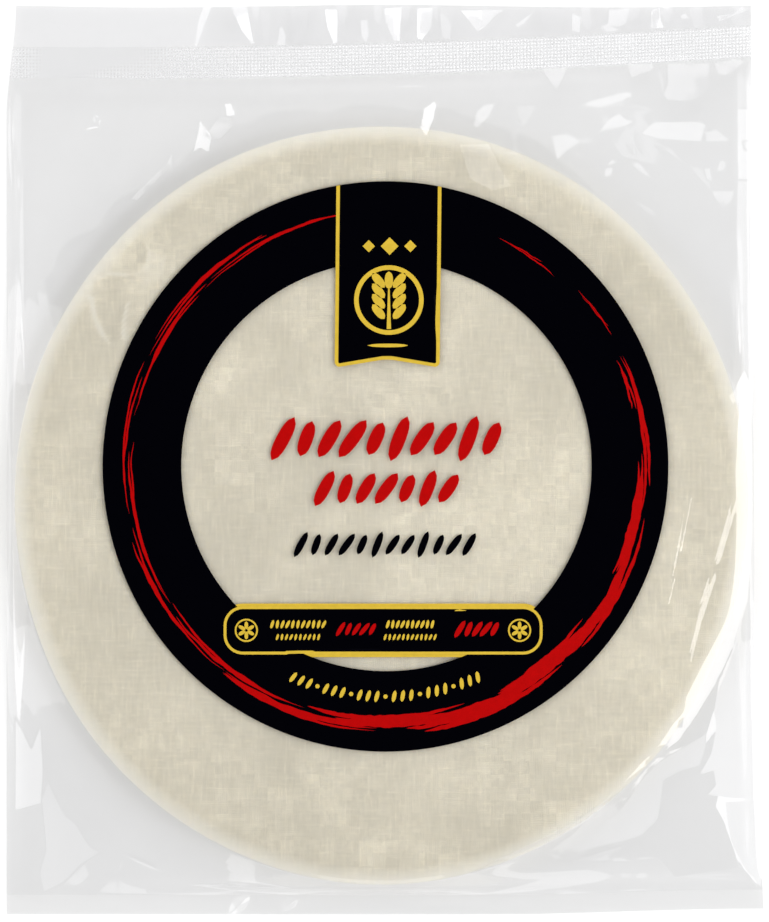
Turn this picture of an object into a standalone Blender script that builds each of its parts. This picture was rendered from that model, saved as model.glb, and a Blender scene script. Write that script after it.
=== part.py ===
"""Clear flat bag with a round stack of rice papers sealed in it.

Metres. The bag lies on z = 0 with its printed face up, +Y runs from the welded foot to
the crimped header and +X to the right. The origin is under the middle of the whole bag.

  bag              the pouch drawn tight over the stack, its header and its foot weld
  print_ring       black ring printed round the middle of the face
  print_tab        black tab that hangs from the top of the ring, with print_tab_edge
  print_bar        black bar across the foot of the ring, with print_bar_edge
"""
import math

import bmesh
import bpy
from mathutils import Vector

# Bag outline
TOP_Y = 0.189                 # free edge of the header
FOOT_Y = -0.189               # free edge of the foot weld
LEFT_X = -0.1575
RIGHT_X = 0.1575              # reached at the flared right foot corner only
TOP_RIGHT_X = 0.1521
LEFT_TAPER = 0.0038           # how far the left edge draws in towards the top
RIGHT_TAPER = 0.0018
FOOT_CORNER_LIFT = 0.0022     # the foot's right corner is cut a little shorter

# Stack of papers
STACK_CENTRE = Vector((-0.0029, -0.0189))
STACK_RADIUS_X = 0.153
STACK_RADIUS_Y = 0.157
FACE_Z = 0.0132               # film face: 12 mm of papers and a little air

# Film round the stack
RIM_STEPS = (                 # distance inside the stack's rim, drop below the face
    (0.0120, 0.0000),
    (0.0065, 0.0003),
    (0.0030, 0.0010),
    (0.0008, 0.0021),
    (0.0000, 0.0032),
)
FLANK_STEPS = 7               # rings from the rim down to the outline
EDGE_LOW_Z = 0.0014           # film edge where it lies loose
EDGE_HIGH_Z = 0.0059          # film edge where the stack pulls it up to mid height
EDGE_REACH = 0.010            # how fast the edge falls as the margin widens
FILM_PAIR = 0.0010            # two films and the air between them
UNDER_INSET = 0.0045          # the flat underside stops this far inside the outline
FOLD_COUNT = 26
FOLD_Z = 0.0011
FOLD_MARGIN = 0.035           # folds reach their full height on margins this wide
SIDE_SPOKES = 28              # columns of the loft on each of the four sides

# Header and foot, both welded strips
STRIP_THICK = 0.0014
STRIP_OVERLAP = 0.0020
STRIP_REST_Z = 0.0009
CRIMP_LOW_Y = 0.1602          # lower edge of the crimp in the middle of the bag
CRIMP_SLOPE = 0.030
CRIMP_BOW = 0.12
CRIMP_WIDTH = 0.0130
WELD_WIDTH = 0.0080
FLUTES = (                    # place across the flap, half width and height of each
    (-0.0750, 0.0035, 0.0026),
    (-0.0570, 0.0075, 0.0040),
    (-0.0350, 0.0050, 0.0018),
    (-0.0060, 0.0065, 0.0024),
    (0.0170, 0.0055, 0.0036),
    (0.0400, 0.0085, 0.0044),
    (0.0610, 0.0050, 0.0016),
    (0.0800, 0.0040, 0.0030),
    (0.0960, 0.0060, 0.0034),
    (0.1130, 0.0045, 0.0030),
    (0.1260, 0.0045, 0.0024),
    (0.1430, 0.0060, 0.0032),
)
FLUTE_FOOT = 0.45             # a flute's width at the crimp as a share of that at the edge
FLUTE_LEAN = 0.22
HEADER_COLUMNS = 110
HEADER_ROWS = 6
CRIMP_ROWS = 2                # rows of the header that the crimp takes
FOOT_COLUMNS = 60
FOOT_ROWS = 3
FOOT_RIPPLE = 0.0006

# Print
PRINT_GAP = 0.0003
PRINT_THICK = 0.0003
RING_CENTRE = Vector((-0.0003, -0.0034))
RING_OUTER = 0.1171
RING_INNER = 0.0850
RING_SEGMENTS = 96
TAB_X = 0.0010
TAB_HALF = 0.02175
TAB_FOOT_Y = 0.0377
TAB_NOTCH = 0.0036            # rise of the tab's foot in the middle
BAR_X = -0.0010
BAR_Y = -0.0707
BAR_HALF_X = 0.0665
BAR_HALF_Y = 0.0105
BAR_CORNER = 0.0085
EDGING = 0.0017

FILM = ("clear_film", (0.83, 0.82, 0.78), 0.18)
BLACK_INK = ("black_ink", (0.004, 0.004, 0.006), 0.30)
GOLD_INK = ("gold_ink", (0.64, 0.44, 0.06), 0.35)


def ease(t):
    t = min(max(t, 0.0), 1.0)
    return t * t * (3.0 - 2.0 * t)


def between(a, b, t):
    return a + (b - a) * t


# Outline

def down_the_bag(y):
    return (TOP_Y - y) / (TOP_Y - FOOT_Y)


def left_x(y):
    return LEFT_X + LEFT_TAPER * ease(1.0 - down_the_bag(y) * 8.0)


def right_x(y):
    t = down_the_bag(y)
    flare = RIGHT_X - TOP_RIGHT_X - RIGHT_TAPER
    return TOP_RIGHT_X + RIGHT_TAPER * t + flare * t ** 6


def top_y(x):
    return TOP_Y - 0.0005 * (1.0 - math.cos(2.0 * math.pi * x / 0.19))


def foot_y(x):
    return FOOT_Y + FOOT_CORNER_LIFT * ease((x - 0.05) / 0.10)


def crimp_low_y(x):
    return CRIMP_LOW_Y + CRIMP_SLOPE * x + CRIMP_BOW * x * x


def weld_y(x):
    return foot_y(x) + WELD_WIDTH


def stack_radius(direction):
    return 1.0 / math.hypot(direction.x / STACK_RADIUS_X, direction.y / STACK_RADIUS_Y)


def edge_z(point):
    """Height of the pouch's edge at a point of its outline."""
    reach = point - STACK_CENTRE
    margin = reach.length - stack_radius(reach.normalized())
    return EDGE_LOW_Z + (EDGE_HIGH_Z - EDGE_LOW_Z) * math.exp(-margin / EDGE_REACH)


def pouch_outline():
    """Points round the pouch, anticlockwise from its left foot corner."""
    x_foot = (left_x(FOOT_Y + WELD_WIDTH), right_x(FOOT_Y + WELD_WIDTH))
    y_foot = (weld_y(x_foot[0]), weld_y(x_foot[1]))
    y_top = (crimp_low_y(LEFT_X), crimp_low_y(TOP_RIGHT_X))
    x_top = (left_x(y_top[0]), right_x(y_top[1]))
    points = []
    for i in range(SIDE_SPOKES):
        x = between(x_foot[0], x_foot[1], i / SIDE_SPOKES)
        points.append(Vector((x, weld_y(x))))
    for i in range(SIDE_SPOKES):
        y = between(y_foot[1], y_top[1], i / SIDE_SPOKES)
        points.append(Vector((right_x(y), y)))
    for i in range(SIDE_SPOKES):
        x = between(x_top[1], x_top[0], i / SIDE_SPOKES)
        points.append(Vector((x, crimp_low_y(x))))
    for i in range(SIDE_SPOKES):
        y = between(y_top[0], y_foot[0], i / SIDE_SPOKES)
        points.append(Vector((left_x(y), y)))
    return points


# Building blocks

def material(finish):
    name, colour, roughness = finish
    found = bpy.data.materials.get(name)
    if found:
        return found
    made = bpy.data.materials.new(name)
    made.use_nodes = True
    shader = made.node_tree.nodes["Principled BSDF"]
    shader.inputs["Base Color"].default_value = (*colour, 1.0)
    shader.inputs["Roughness"].default_value = roughness
    made.diffuse_color = (*colour, 1.0)
    return made


def add_object(name, mesh, collection, finish=None):
    made = bpy.data.objects.new(name, mesh)
    collection.objects.link(made)
    if finish:
        mesh.materials.clear()
        mesh.materials.append(material(finish))
    return made


def add_modifier(target, name, kind, **settings):
    modifier = target.modifiers.new(name, kind)
    for key, value in settings.items():
        setattr(modifier, key, value)
    return modifier


def as_guide(target):
    target.hide_render = True
    target.display_type = "WIRE"
    return target


def height_sheet(name, collection, columns, rows, place):
    """Grid whose point (u, v), each 0 to 1, goes where place(u, v) says."""
    bm = bmesh.new()
    bmesh.ops.create_grid(bm, x_segments=columns, y_segments=rows, size=0.5)
    for vert in bm.verts:
        vert.co = place(vert.co.x + 0.5, vert.co.y + 0.5)
    mesh = bpy.data.meshes.new(name)
    bm.to_mesh(mesh)
    bm.free()
    sheet = add_object(name, mesh, collection)
    add_modifier(sheet, "film", "SOLIDIFY", thickness=STRIP_THICK, offset=0.0)
    return as_guide(sheet)


def plate(name, loops, collection, finish=None, grow_z=0.0):
    """Flat print field from closed loops of points, standing just off the film face."""
    curve = bpy.data.curves.new(name, "CURVE")
    curve.dimensions = "2D"
    curve.fill_mode = "BOTH"
    curve.extrude = PRINT_THICK / 2.0 + grow_z
    for loop in loops:
        spline = curve.splines.new("POLY")
        spline.points.add(len(loop) - 1)
        spline.use_cyclic_u = True
        for point, place in zip(spline.points, loop):
            point.co = (place[0], place[1], 0.0, 1.0)
    drawn = bpy.data.objects.new(name + "_curve", curve)
    collection.objects.link(drawn)
    bpy.context.view_layer.update()
    depsgraph = bpy.context.evaluated_depsgraph_get()
    mesh = bpy.data.meshes.new_from_object(drawn.evaluated_get(depsgraph))
    bpy.data.objects.remove(drawn)
    bm = bmesh.new()
    bm.from_mesh(mesh)
    bmesh.ops.remove_doubles(bm, verts=bm.verts, dist=0.00001)
    bmesh.ops.translate(bm, verts=bm.verts, vec=(0.0, 0.0, FACE_Z + PRINT_GAP + PRINT_THICK / 2.0))
    bmesh.ops.recalc_face_normals(bm, faces=bm.faces)
    bm.to_mesh(mesh)
    bm.free()
    mesh.name = name
    return add_object(name, mesh, collection, finish)


# The bag

def build_pouch(collection):
    """Loft from the stack's rim out to the outline, closed by a flat underside."""
    outline = pouch_outline()
    bm = bmesh.new()
    rings = []
    spokes = [(point - STACK_CENTRE).normalized() for point in outline]
    rims = [STACK_CENTRE + way * stack_radius(way) for way in spokes]
    for inside, drop in RIM_STEPS:
        ring = []
        for way, rim in zip(spokes, rims):
            place = rim - way * inside
            ring.append(bm.verts.new((place.x, place.y, FACE_Z - drop)))
        rings.append(ring)
    rim_z = FACE_Z - RIM_STEPS[-1][1]
    for step in range(1, FLANK_STEPS + 1):
        s = step / FLANK_STEPS
        ring = []
        for way, rim, point in zip(spokes, rims, outline):
            place = rim.lerp(point, s)
            low = edge_z(point)
            z = low + (rim_z - low) * (1.0 - s) ** 2
            wave = 0.5 + 0.5 * math.cos(FOLD_COUNT * math.atan2(way.y, way.x))
            margin = ease((point - rim).length / FOLD_MARGIN)
            z += FOLD_Z * wave * margin * math.sin(math.pi * s)
            ring.append(bm.verts.new((place.x, place.y, z)))
        rings.append(ring)
    rings.append([bm.verts.new((p.x, p.y, edge_z(p) - FILM_PAIR)) for p in outline])
    under = []
    for way, point in zip(spokes, outline):
        place = point - way * UNDER_INSET
        under.append(bm.verts.new((place.x, place.y, 0.0)))
    rings.append(under)
    count = len(outline)
    for inner, outer in zip(rings, rings[1:]):
        for i in range(count):
            j = (i + 1) % count
            bm.faces.new((inner[i], outer[i], outer[j], inner[j]))
    bm.faces.new(rings[0])
    bm.faces.new(list(reversed(rings[-1])))
    mesh = bpy.data.meshes.new("bag")
    bm.to_mesh(mesh)
    bm.free()
    return add_object("bag", mesh, collection, FILM)


def header_point(u, v):
    """Crimp over the first part of v, then the loose fluted flap up to the free edge."""
    x_low = between(left_x(CRIMP_LOW_Y), right_x(CRIMP_LOW_Y), u)
    low = crimp_low_y(x_low)
    high = low + CRIMP_WIDTH
    crimp = CRIMP_ROWS / HEADER_ROWS
    if v <= crimp:
        y = between(low - STRIP_OVERLAP, high, v / crimp)
    else:
        y = between(high, top_y(x_low), (v - crimp) / (1.0 - crimp))
    x = between(left_x(y), right_x(y), u)
    joined = edge_z(Vector((x_low, low))) - FILM_PAIR / 2.0
    z = between(joined, STRIP_REST_Z, ease(v / crimp))
    loose = ease((v - crimp) / (1.0 - crimp))
    for place, half, height in FLUTES:
        across = (x - place - FLUTE_LEAN * (y - high)) / (half * between(FLUTE_FOOT, 1.0, loose))
        z += height * loose * ease(1.0 - abs(across))
    return (x, y, z)


def foot_point(u, v):
    """Foot weld: from inside the pouch's edge down to the free edge."""
    x_mid = between(left_x(FOOT_Y), right_x(FOOT_Y + WELD_WIDTH), u)
    inner = weld_y(x_mid)
    y = between(inner + STRIP_OVERLAP, foot_y(x_mid), v)
    x = between(left_x(y), right_x(y), u)
    joined = edge_z(Vector((x_mid, inner))) - FILM_PAIR / 2.0
    z = between(joined, STRIP_REST_Z, ease(v * 1.2 - 0.2))
    z += FOOT_RIPPLE * v * (0.5 - 0.5 * math.cos(2.0 * math.pi * x / 0.031))
    return (x, y, z)


def build_bag(parts, guides):
    bag = build_pouch(parts)
    header = height_sheet("header_guide", guides, HEADER_COLUMNS, HEADER_ROWS, header_point)
    foot = height_sheet("foot_guide", guides, FOOT_COLUMNS, FOOT_ROWS, foot_point)
    for name, strip in (("header", header), ("foot", foot)):
        add_modifier(bag, name, "BOOLEAN", object=strip, operation="UNION", solver="EXACT")
    bag.data.shade_smooth()
    bag.data.set_sharp_from_angle(angle=math.radians(35.0))
    return bag


# The print

def circle(centre, radius, segments):
    points = []
    for i in range(segments):
        angle = 2.0 * math.pi * i / segments
        points.append((centre.x + radius * math.cos(angle), centre.y + radius * math.sin(angle)))
    return points


def rounded_bar(grow):
    """Outline of the bar, grown by a margin, with round corners."""
    radius = BAR_CORNER + grow
    points = []
    corners = ((1, 1, 0.0), (-1, 1, 90.0), (-1, -1, 180.0), (1, -1, 270.0))
    for side_x, side_y, start in corners:
        x = BAR_X + side_x * (BAR_HALF_X - BAR_CORNER)
        y = BAR_Y + side_y * (BAR_HALF_Y - BAR_CORNER)
        for step in range(9):
            angle = math.radians(start + step * 90.0 / 8.0)
            points.append((x + radius * math.cos(angle), y + radius * math.sin(angle)))
    return points


def tab_foot(half, grow):
    """Swallow-tail foot of the tab from right to left, grown by a margin."""
    points = []
    steps = 12
    for i in range(steps + 1):
        t = 1.0 - 2.0 * i / steps
        rise = TAB_NOTCH * (0.5 + 0.5 * math.cos(math.pi * t))
        points.append((TAB_X + t * half, TAB_FOOT_Y + rise - grow))
    return points


def tab_outline(grow, crown):
    """Whole tab, grown by a margin; its crown follows an arc of the ring's centre."""
    half = TAB_HALF + grow
    points = []
    steps = 8
    for i in range(steps + 1):
        x = TAB_X - half + 2.0 * half * i / steps
        y = RING_CENTRE.y + math.sqrt(crown ** 2 - (x - RING_CENTRE.x) ** 2)
        points.append((x, y))
    return points + tab_foot(half, grow)


def tab_edging():
    """Strip down both sides of the tab and along its foot."""
    inner = tab_outline(PRINT_GAP, RING_OUTER)
    outer = tab_outline(PRINT_GAP + EDGING, RING_OUTER)
    crown_points = 9
    inside = [inner[crown_points - 1]] + inner[crown_points:] + [inner[0]]
    outside = [outer[0]] + list(reversed(outer[crown_points:])) + [outer[crown_points - 1]]
    return inside + outside


def build_print(parts, guides):
    tab_cut = tab_outline(EDGING + 2.0 * PRINT_GAP, RING_OUTER + 0.01)
    bar_cut = rounded_bar(EDGING + 2.0 * PRINT_GAP)
    loops = [circle(RING_CENTRE, RING_OUTER, RING_SEGMENTS)]
    loops.append(circle(RING_CENTRE, RING_INNER, RING_SEGMENTS))
    ring = plate("print_ring", loops, parts, BLACK_INK)
    for name, outline in (("tab_cut", tab_cut), ("bar_cut", bar_cut)):
        cutter = as_guide(plate(name, [outline], guides, grow_z=PRINT_THICK))
        add_modifier(ring, name, "BOOLEAN", object=cutter, operation="DIFFERENCE", solver="EXACT")
    plate("print_tab", [tab_outline(0.0, RING_OUTER)], parts, BLACK_INK)
    plate("print_tab_edge", [tab_edging()], parts, GOLD_INK)
    plate("print_bar", [rounded_bar(0.0)], parts, BLACK_INK)
    edging = [rounded_bar(PRINT_GAP + EDGING), rounded_bar(PRINT_GAP)]
    plate("print_bar_edge", edging, parts, GOLD_INK)


def clear_scene():
    for old in list(bpy.data.objects):
        bpy.data.objects.remove(old)


def new_collection(name):
    made = bpy.data.collections.new(name)
    bpy.context.scene.collection.children.link(made)
    return made


def main():
    clear_scene()
    parts = new_collection("rice_paper_stack")
    guides = new_collection("guides")
    build_bag(parts, guides)
    build_print(parts, guides)


main()
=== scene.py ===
import math

import bpy
import numpy as np
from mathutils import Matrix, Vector
from mathutils.geometry import delaunay_2d_cdt


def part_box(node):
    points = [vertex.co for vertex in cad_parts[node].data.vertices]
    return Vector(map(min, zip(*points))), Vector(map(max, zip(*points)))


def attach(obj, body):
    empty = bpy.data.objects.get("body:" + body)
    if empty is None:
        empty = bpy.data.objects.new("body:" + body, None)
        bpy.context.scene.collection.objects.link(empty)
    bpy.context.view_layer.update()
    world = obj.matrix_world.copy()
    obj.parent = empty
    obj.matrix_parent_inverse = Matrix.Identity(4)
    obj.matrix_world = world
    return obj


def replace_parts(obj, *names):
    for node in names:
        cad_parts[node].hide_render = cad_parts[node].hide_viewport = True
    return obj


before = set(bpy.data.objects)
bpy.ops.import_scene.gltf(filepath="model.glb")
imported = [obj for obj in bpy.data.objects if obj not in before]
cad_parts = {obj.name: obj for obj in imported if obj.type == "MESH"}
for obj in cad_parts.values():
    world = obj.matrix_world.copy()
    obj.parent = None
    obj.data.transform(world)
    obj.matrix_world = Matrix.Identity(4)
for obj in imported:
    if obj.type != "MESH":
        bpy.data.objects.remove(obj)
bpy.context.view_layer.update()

mm = 0.001
bagLow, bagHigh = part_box("bag")
ringLow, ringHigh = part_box("print_ring")
tabLow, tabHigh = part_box("print_tab")
barLow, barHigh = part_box("print_bar")
scene = bpy.context.scene
shop = bpy.data.collections.new("bagOfRicePapers")
scene.collection.children.link(shop)


# small helpers

def ease(t):
    t = np.clip(t, 0.0, 1.0)
    return t * t * (3.0 - 2.0 * t)


def between(a, b, t):
    return a + (b - a) * t


def lattice(u, v, seed):
    table = np.random.default_rng(seed).random((64, 64)) * 2.0 - 1.0
    i, j = np.floor(u).astype(int), np.floor(v).astype(int)
    corners = [table[(i + a) % 64, (j + b) % 64] for a, b in ((0, 0), (1, 0), (0, 1), (1, 1))]
    return u - i, v - j, corners


def softNoise(x, y, size, seed):
    u, v, (a, b, c, d) = lattice(x / size, y / size, seed)
    return between(between(a, b, ease(u)), between(c, d, ease(u)), ease(v))


def facets(x, y, size, seed, turn):
    wx = x + 0.35 * size * softNoise(x, y, size * 1.9, seed + 1)
    wy = y + 0.35 * size * softNoise(x, y, size * 1.9, seed + 2)
    px = (wx * math.cos(turn) - wy * math.sin(turn)) / size
    py = (wx * math.sin(turn) + wy * math.cos(turn)) / size
    root = math.sqrt(3.0)
    u, v, (a, b, c, d) = lattice(px - py / root, 2.0 * py / root, seed)
    lower = a + u * (b - a) + v * (c - a)
    upper = d + (1.0 - u) * (c - d) + (1.0 - v) * (b - d)
    return np.where(u + v > 1.0, upper, lower)


def crease(x, y, fold):
    ax, ay, bx, by, height, near, far = [value * mm for value in fold]
    length = math.hypot(bx - ax, by - ay)
    tx, ty = (bx - ax) / length, (by - ay) / length
    along = ((x - ax) * tx + (y - ay) * ty) / length
    across = (x - ax) * -ty + (y - ay) * tx
    taper = np.clip(np.minimum(along, 1.0 - along) * 2.6, 0.0, 1.0)
    width = np.where(across > 0.0, far, near) * np.maximum(taper, 0.001)
    return height * taper * np.clip(1.0 - np.abs(across) / width, 0.0, 1.0)


# bag outline and film

bag = {
    "left": bagLow.x, "right": bagHigh.x, "foot": -0.189, "top": 0.189,
    "leftTaper": 3.8 * mm, "rightTaper": 1.8 * mm, "rightDraw": 5.4 * mm,
    "cornerLift": 2.2 * mm, "weldWidth": 8 * mm,
    "crimpY": 160.2 * mm, "crimpSlope": 0.030, "crimpBow": 0.12, "crimpWidth": 13 * mm,
}
stack = {
    "x": -1.6 * mm, "y": -18.9 * mm, "radiusX": 152.4 * mm, "radiusY": 157.4 * mm,
    "base": 0.55 * mm, "pitch": 0.415 * mm, "thick": 0.24 * mm, "sheets": 27,
    "inset": 1.5 * mm, "topInset": 0.3 * mm, "shift": 0.5 * mm, "droop": 2.2 * mm, "ruffle": 0.10 * mm,
    "square": 5.43 * mm, "squareHeight": 0.07 * mm, "squareWander": 0.5 * mm, "dentPatchHeight": 0.25 * mm,
    # painted highlight and shade where the top sheets dent, with pale patches raised and dark ones sunk a
    # little: amount of white, then corners
    "dentPatches": (
        (0.55, (-123.3, 68.1), (-120.2, 67.3), (-119.8, 61), (-113.9, 47.7), (-119, 52.4), (-121.7, 59.4)),
        (-0.5, (-120.6, 73.6), (-115.8, 75.1), (-108, 74.8), (-107.6, 64.9), (-109.2, 57.1), (-109.6, 49.2),
         (-113.5, 48.4), (-117.8, 57.1), (-120.2, 64.9)),
        (0.6, (-107.8, 65.2), (-106.2, 65), (-107.8, 57), (-107.6, 49.4), (-109.8, 49.6), (-109.8, 57.4)),
        (0.4, (-119.5, 73.4), (-115.3, 76.2), (-108, 75.6), (-103.8, 76.8), (-108, 77.6), (-115.2, 77.8)),
        (0.3, (-104.1, 76), (-100.5, 79.2), (-98.9, 85.4), (-100.3, 91.6), (-97.2, 85.6), (-98.6, 78.3)),
        (-0.6, (-108.8, 83.8), (-104.8, 89.3), (-100.9, 92.4), (-98.7, 86.1), (-100.3, 80.6), (-104.8, 76.7),
         (-108.8, 77.7)),
        (0.25, (-97.8, 86), (-90.7, 84.5), (-92.3, 75.9), (-100.9, 70), (-99.3, 78)),
    ),
}


def downBag(y):
    return (bag["top"] - y) / (bag["top"] - bag["foot"])


def leftX(y):
    return bag["left"] + bag["leftTaper"] * ease(1.0 - downBag(y) * 8.0)


def rightX(y):
    t = np.clip(downBag(y), 0.0, 1.0)
    flare = bag["rightDraw"] - bag["rightTaper"]
    return bag["right"] - bag["rightDraw"] + bag["rightTaper"] * t + flare * t ** 6


def topY(x):
    return bag["top"] - 0.5 * mm * (1.0 - np.cos(2.0 * math.pi * x / 0.19))


def footY(x):
    return bag["foot"] + bag["cornerLift"] * ease((x - 0.05) / 0.10)


def weldY(x):
    return footY(x) + bag["weldWidth"]


def crimpY(x):
    return bag["crimpY"] + bag["crimpSlope"] * x + bag["crimpBow"] * x * x


def rimReach(dx, dy):
    length = np.hypot(dx, dy) + 1e-9
    return length / (np.hypot(dx / stack["radiusX"], dy / stack["radiusY"]) + 1e-9)


def fromRim(x, y):
    dx, dy = x - stack["x"], y - stack["y"]
    return np.hypot(dx, dy) - rimReach(dx, dy), np.arctan2(dy, dx)


def outlineTable(count=1440):
    angle = np.arange(count) * 2.0 * math.pi / count
    near, far = np.full(count, 0.1), np.full(count, 0.32)
    for _ in range(24):
        middle = (near + far) / 2.0
        x, y = stack["x"] + middle * np.cos(angle), stack["y"] + middle * np.sin(angle)
        inside = (x > leftX(y)) & (x < rightX(y)) & (y > weldY(x)) & (y < crimpY(x))
        near, far = np.where(inside, middle, near), np.where(inside, far, middle)
    return angle, near


reachAngle, reachLength = outlineTable()


film = {
    "face": 13.0 * mm, "rim": 11.3 * mm, "shoulder": 5.5 * mm, "sag": 1.15,
    "edge": 1.4 * mm, "narrowEdge": 3.6 * mm, "narrow": 10 * mm, "foot": 1.3 * mm, "lowest": 0.9 * mm,
    "coarse": 26 * mm, "coarseHeight": 0.7 * mm, "fine": 11 * mm, "fineHeight": 0.28 * mm,
    "slackWidth": 26 * mm, "tightHeight": 0.10 * mm,
    "rollLeft": 0.3 * mm, "rollRight": 2.6 * mm, "rollWidth": 6 * mm,
    "upperCut": 103 * mm, "lowerCut": -98 * mm, "backRest": 0.25 * mm, "backSlack": 0.5 * mm,
    # start x, y and end x, y of each fold, then height, width of right side, width of left side
    "folds": (
        (111, 131, 124, 122.5, 0.5, 1.6, 2.2),
        (123, 123, 135.5, 111, 0.7, 1.5, 3.5),
        (103, 137, 107, 126, 0.5, 1.2, 1.4),
        (100, 131, 104, 126, 0.5, 1.2, 1.6),
        (113, 163, 115, 151, 0.7, 1.6, 1.2),
        (-121, 144, -119, 138, 0.7, 1.6, 2.0),
        (-126, 136, -117, 138, 0.6, 1.3, 1.3),
        (-156, 152, -155, 110, 0.5, 1.2, 1.2),
        (-150.5, 122, -150, 56, 0.25, 1.3, 1.3),
        (124.7, -14, 116, -60, 0.30, 1.0, 1.2),
        (143.4, -16, 135.0, -45, 0.50, 1.8, 2.0),
        (134, -47, 129, -62, 0.45, 1.6, 1.6),
        (130.5, -59, 124.5, -84, 0.36, 1.2, 1.4),
        (129, -100, 131, -112, 0.6, 1.5, 1.5),
        (76, -167, 100, -160, 0.6, 1.6, 2.0),
        (118, -158, 120, -152, 0.6, 1.6, 1.2),
        (-112, -162, -90, -172, 0.5, 1.2, 1.4),
        (-86, -176, -30, -179, 0.6, 1.6, 1.6),
        (-22, -48, -27, -60, 0.16, 0.5, 0.5),
    ),
    # width of the painted shadow on the film beside the papers, by direction
    "shade": ((52, 0), (66, 6), (80, 8.5), (95, 9), (108, 10), (116, 14), (122, 9), (130, 10), (138, 15),
              (146, 13), (152, 0)),
    # way each pane faces, slope, then its corners
    "panes": (
        (261, 0.35, (100, 165), (102, 158), (106, 160), (110, 161), (112, 163), (111, 165)),
        (261, 0.35, (117, 165), (135, 165), (134, 154), (130, 150), (126, 148), (117, 149), (115, 151),
         (117, 156)),
        (261, 0.35, (136, 165), (138, 160), (141, 159), (146, 162), (150, 166), (145, 167)),
        (261, 0.35, (64, 163), (76, 163), (71, 152)),
        (12, 0.27, (82, 147), (86, 149), (94, 151), (98, 152.5), (102, 152.5), (102, 150), (89, 146)),
        (261, 0.35, (99.5, 149.5), (102.5, 150), (102, 143), (100, 143.5)),
        (12, 0.27, (89, 136), (91.5, 140), (94, 142), (97.5, 143.5), (99, 141.5), (103, 140), (100, 138.5),
         (93, 137)),
        (12, 0.27, (106, 135), (109, 138), (112, 140), (131, 140), (133, 138), (130.5, 132), (114, 133)),
        (261, 0.35, (132, 137.5), (134, 136), (137, 137.5), (143.5, 132.5), (141, 131.5), (133, 131.5)),
        (12, 0.27, (69, 134), (75, 135), (81, 132), (75, 128), (71, 124)),
        (12, 0.27, (91, 117), (91, 120), (92.5, 121), (94, 120.5), (93.5, 118)),
        (12, 0.27, (92, 122.5), (94, 124), (96, 123.5), (93, 122)),
        (261, 0.35, (101.5, 123.5), (105.5, 123), (110.5, 117), (108, 117), (103, 121)),
        (261, 0.35, (135, 111.5), (145, 112), (144, 107.5), (140, 103.5), (136, 109)),
        (261, 0.35, (133, 116), (132, 121), (134.5, 121), (136, 115)),
        (261, 0.35, (137, 119), (138.5, 124), (140.5, 124.5), (141.5, 123), (141, 120)),
        (12, 0.27, (146, 126), (149, 128), (151, 125), (148, 124)),
        (261, 0.35, (148, 132), (151.3, 132.6), (151.3, 128), (149, 129)),
        (-10, 0.34, (-67, 148), (-64, 148), (-62, 143), (-66, 142)),
        (275, 0.34, (-69, 143), (-64, 142), (-62, 139), (-68, 133), (-74, 132), (-74, 136)),
        (-10, 0.34, (-77, 141), (-72, 134), (-73, 127), (-77, 129), (-80, 127), (-78, 135)),
        (275, 0.34, (-91, 123), (-88, 129), (-88, 117), (-92, 118), (-103, 107), (-106, 108)),
        (26, 0.375, (-154, -107), (-151, -112), (-147, -120), (-143, -110), (-142, -130), (-143, -143),
         (-154, -146)),
        (44, 0.27, (-143, -141), (-140, -133), (-133, -148), (-129, -150), (-123, -160), (-118, -163),
         (-126, -168), (-134, -176), (-142, -180), (-144, -172), (-141, -162)),
        (34, 0.28, (145, -77), (152, -75), (152.5, -100), (154, -141), (140, -140), (133.5, -139),
         (137, -135), (136, -129), (130, -131), (135, -122), (137, -112), (136, -100), (142, -86)),
        (34, 0.28, (141, -142), (154, -142), (157, -166), (156, -178), (149, -170), (143, -158)),
        (-60, 0.27, (80, -162), (98, -145), (108, -131), (114, -125), (126, -118), (133, -113.5),
         (132.5, -120), (130, -127), (122, -129), (115, -133), (113, -149), (106, -156), (93, -159)),
        (-45, 0.12, (145, -77), (139, -82), (133, -96), (122, -116), (114, -122), (126, -118), (133, -113.5),
         (136, -104), (138, -93)),
        (-50, 0.12, (116, -135), (122, -129), (135, -131), (133, -139), (140, -149), (143, -158), (147, -170),
         (120, -174), (107, -158), (114, -149)),
        (12, 0.27, (142, 26), (146, 30), (147, 28), (144, 23)),
        (261, 0.35, (145.9, 116), (151.4, 116), (151.6, 33), (147.8, 33), (147, 62), (145.5, 92)),
        (-12, 0.29, (20.3, 148.8), (21.5, 147.5), (20.3, 141.3), (17, 133.4), (14.1, 137.2), (15.7, 145.5)),
        (-12, 0.29, (45.2, 147.5), (42.7, 142.1), (38.1, 137.6), (36.5, 138.4), (37.7, 143.8), (41, 147.1)),
        (261, 0.35, (30, 131), (43, 131), (48, 121), (52.6, 113), (44, 111), (35, 115.6), (32, 124)),
        (-12, 0.27, (145.5, 31), (146.5, 17), (144.8, -5), (145.3, -27), (144.8, -46), (143, -64),
         (131, -85.5), (124.3, -98.6), (123.3, -113), (126, -110), (136.3, -93.5), (144.2, -77),
         (150.5, -58), (152.3, -30), (152.3, 5), (151.5, 31), (149, 37)),
        (-14, 0.27, (144.9, -17.4), (145.6, -19), (142, -31), (138.4, -43), (136.4, -44), (139.5, -33)),
        (-14, 0.27, (136.6, -46), (137, -49), (131, -67), (126.6, -84), (125.9, -83.5), (129, -66),
         (132.5, -55)),
        (-14, 0.27, (126.3, -15.5), (127.1, -16), (122.7, -38.5), (121.6, -38.5)),
        (-14, 0.27, (119.4, -48.5), (120.3, -49), (117.6, -60), (116.7, -60)),
    ),
}


def sidesOf(loop):
    return zip(loop, loop[1:] + loop[:1])


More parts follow.
